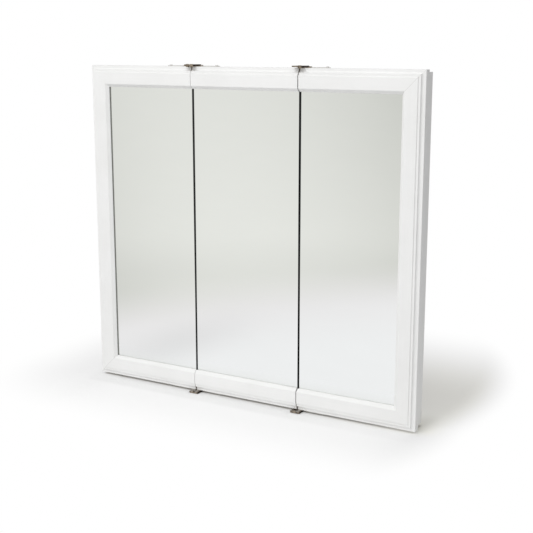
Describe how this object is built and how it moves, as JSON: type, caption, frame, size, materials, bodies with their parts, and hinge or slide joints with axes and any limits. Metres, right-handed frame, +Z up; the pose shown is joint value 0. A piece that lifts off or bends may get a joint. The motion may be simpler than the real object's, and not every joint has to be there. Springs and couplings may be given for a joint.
{
  "type": "medicine cabinet",
  "caption": "Shallow white wall cabinet with mirrored doors side by side in one mitred moulding, hung on strap hinges at the seams over a shelved case.",
  "frame": {"origin": "centre of the rear face, where the cabinet meets the wall", "axes": "+X to the right seen from the front, +Y into the wall, +Z up; the doors face -Y"},
  "size_m": [0.762, 0.1273, 0.696],
  "materials": {
    "white_paint": "satin white paint on moulded wood",
    "white_board": "white foil on board",
    "hardboard": "plain brown hardboard",
    "backing_board": "plain fibreboard",
    "silvered_glass": "back-silvered float glass",
    "hinge_nickel": "nickel plated steel",
    "bright_steel": "zinc plated steel",
    "screw_steel": "zinc plated steel",
    "catch_plastic": "white moulded plastic",
    "catch_magnet": "dark ferrite",
    "bumper_rubber": "clear soft plastic"
  },
  "bodies": {
    "cabinet": {"back_nails": "screw_steel", "back_panel": "hardboard", "bottom_hanging_rail": "white_board", "bumpers": "bumper_rubber", "case_bottom": "white_board", "case_left_side": "white_board", "case_right_side": "white_board", "case_screws": "screw_steel", "case_top": "white_board", "catch_housings": "catch_plastic", "catch_magnets": "catch_magnet", "catch_poles": "bright_steel", "catch_screws": "screw_steel", "collar_bottom": "white_paint", "collar_left": "white_paint", "collar_right": "white_paint", "collar_screws": "screw_steel", "collar_top": "white_paint", "hinge_rivets": "hinge_nickel", "left_bottom_hinge_strap": "hinge_nickel", "left_top_hinge_strap": "hinge_nickel", "lower_shelf": "white_board", "right_bottom_hinge_strap": "hinge_nickel", "right_top_hinge_strap": "hinge_nickel", "shelf_pins": "hinge_nickel", "strap_screws": "hinge_nickel", "top_hanging_rail": "white_board", "upper_shelf": "white_board"},
    "left_door": {"left_door_backing_board": "backing_board", "left_door_backing_screws": "screw_steel", "left_door_bottom_leaf": "hinge_nickel", "left_door_bottom_rail": "white_paint", "left_door_leaf_screws": "hinge_nickel", "left_door_mirror": "silvered_glass", "left_door_stile": "white_paint", "left_door_strike": "bright_steel", "left_door_strike_screws": "screw_steel", "left_door_top_leaf": "hinge_nickel", "left_door_top_rail": "white_paint"},
    "centre_door": {"centre_door_backing_board": "backing_board", "centre_door_backing_screws": "screw_steel", "centre_door_bottom_leaf": "hinge_nickel", "centre_door_bottom_rail": "white_paint", "centre_door_leaf_screws": "hinge_nickel", "centre_door_mirror": "silvered_glass", "centre_door_strike": "bright_steel", "centre_door_strike_screws": "screw_steel", "centre_door_top_leaf": "hinge_nickel", "centre_door_top_rail": "white_paint"},
    "right_door": {"right_door_backing_board": "backing_board", "right_door_backing_screws": "screw_steel", "right_door_bottom_leaf": "hinge_nickel", "right_door_bottom_rail": "white_paint", "right_door_leaf_screws": "hinge_nickel", "right_door_mirror": "silvered_glass", "right_door_stile": "white_paint", "right_door_strike": "bright_steel", "right_door_strike_screws": "screw_steel", "right_door_top_leaf": "hinge_nickel", "right_door_top_rail": "white_paint"}
  },
  "joints": [
    {"name": "left_door_hinge", "type": "hinge", "parent": "cabinet", "child": "left_door", "pos_m": [-0.1284, -0.12265, 0], "axis": [0, 0, 1], "range_deg": [0, 90]},
    {"name": "centre_door_hinge", "type": "hinge", "parent": "cabinet", "child": "centre_door", "pos_m": [-0.119, -0.12265, 0], "axis": [0, 0, -1], "range_deg": [0, 90]},
    {"name": "right_door_hinge", "type": "hinge", "parent": "cabinet", "child": "right_door", "pos_m": [0.1284, -0.12265, 0], "axis": [0, 0, -1], "range_deg": [0, 90]}
  ]
}
